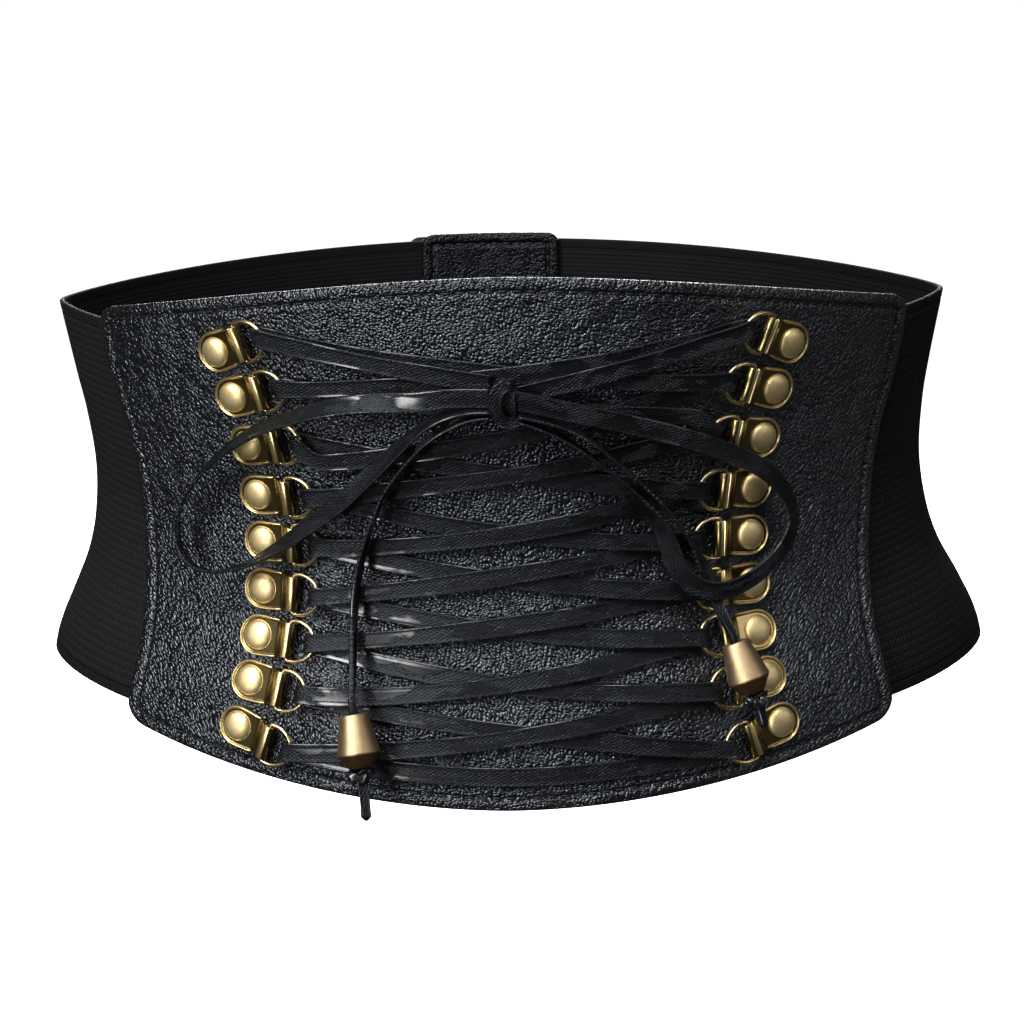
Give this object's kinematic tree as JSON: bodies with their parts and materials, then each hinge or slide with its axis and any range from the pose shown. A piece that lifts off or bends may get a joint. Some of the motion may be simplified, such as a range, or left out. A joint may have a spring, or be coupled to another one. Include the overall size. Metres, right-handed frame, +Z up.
{
  "type": "corset belt",
  "caption": "Wide waist belt with a flared leather front panel laced through two columns of D-ring clips and tied in a bow, on elastic bands that close at the back with two tabs.",
  "frame": {"origin": "middle of the waist opening, at half the height of the elastic bands, on the centre line of the front panel", "axes": "+X toward the viewer's right across the front, +Z up along the wearer's waist, -Y the way that the front panel faces"},
  "size_m": [0.3035, 0.2267, 0.1555],
  "materials": {
    "leather": "pebbled, soft sheen",
    "elastic": "ribbed, dull",
    "lace": "waxed flat braid",
    "old_brass": "aged, dark in the hollows",
    "copper": "brushed copper-brass"
  },
  "bodies": {
    "root": {"front_panel": "leather", "elastic_left": "elastic", "elastic_right": "elastic", "back_tab_inner": "leather", "back_tab_outer": "leather", "back_closure": "old_brass", "clip_left_1": "old_brass", "ring_left_1": "old_brass", "clip_left_2": "old_brass", "ring_left_2": "old_brass", "clip_left_3": "old_brass", "ring_left_3": "old_brass", "clip_left_4": "old_brass", "ring_left_4": "old_brass", "clip_left_5": "old_brass", "ring_left_5": "old_brass", "clip_left_6": "old_brass", "ring_left_6": "old_brass", "clip_left_7": "old_brass", "ring_left_7": "old_brass", "clip_left_8": "old_brass", "ring_left_8": "old_brass", "clip_left_9": "old_brass", "ring_left_9": "old_brass", "clip_right_1": "old_brass", "ring_right_1": "old_brass", "clip_right_2": "old_brass", "ring_right_2": "old_brass", "clip_right_3": "old_brass", "ring_right_3": "old_brass", "clip_right_4": "old_brass", "ring_right_4": "old_brass", "clip_right_5": "old_brass", "ring_right_5": "old_brass", "clip_right_6": "old_brass", "ring_right_6": "old_brass", "clip_right_7": "old_brass", "ring_right_7": "old_brass", "clip_right_8": "old_brass", "ring_right_8": "old_brass", "clip_right_9": "old_brass", "ring_right_9": "old_brass", "lacing": "lace", "bow_knot": "lace", "bow_loop_left": "lace", "bow_loop_right": "lace", "lace_tail_left": "lace", "lace_tail_right": "lace", "end_knot_left": "lace", "end_knot_right": "lace", "cord_end_left": "copper", "cord_end_right": "copper"}
  },
  "joints": []
}
